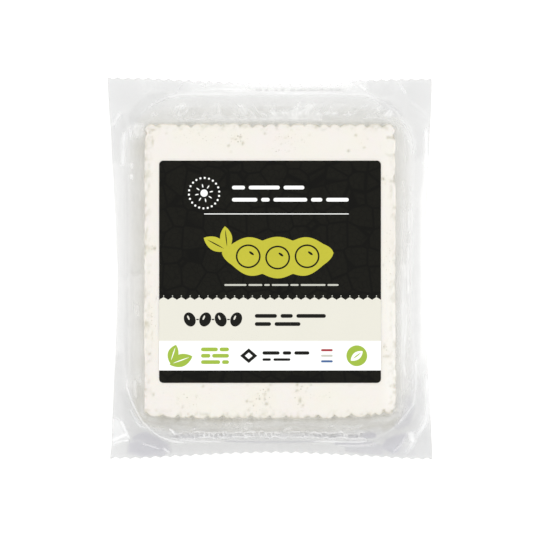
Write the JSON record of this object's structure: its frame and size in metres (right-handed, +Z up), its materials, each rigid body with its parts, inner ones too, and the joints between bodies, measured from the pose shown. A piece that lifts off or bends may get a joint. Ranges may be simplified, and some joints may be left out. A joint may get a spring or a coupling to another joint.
{
  "type": "vacuum-packed tofu block",
  "caption": "Pressed tofu block sealed flat in clear film, with a thin welded flange all round and a square printed label on its front face.",
  "frame": {"origin": "on the surface the pack lies on, at the middle of the pack's outline", "axes": "+Z up out of the labelled front face, +Y towards the top of the label, +X to the right of the label seen from above"},
  "size_m": [0.1295, 0.1524, 0.0213],
  "materials": {
    "tofu": "moist pressed bean curd, cream, fine pits and chipped edges",
    "clear_film": "clear barrier film, glossy, wrinkled where it is drawn in",
    "label_print": "matt printed paper, mainly black, with pale, green and yellow-green fields"
  },
  "bodies": {
    "root": {"sealed_pack": "tofu", "front_label": "label_print"}
  },
  "joints": []
}
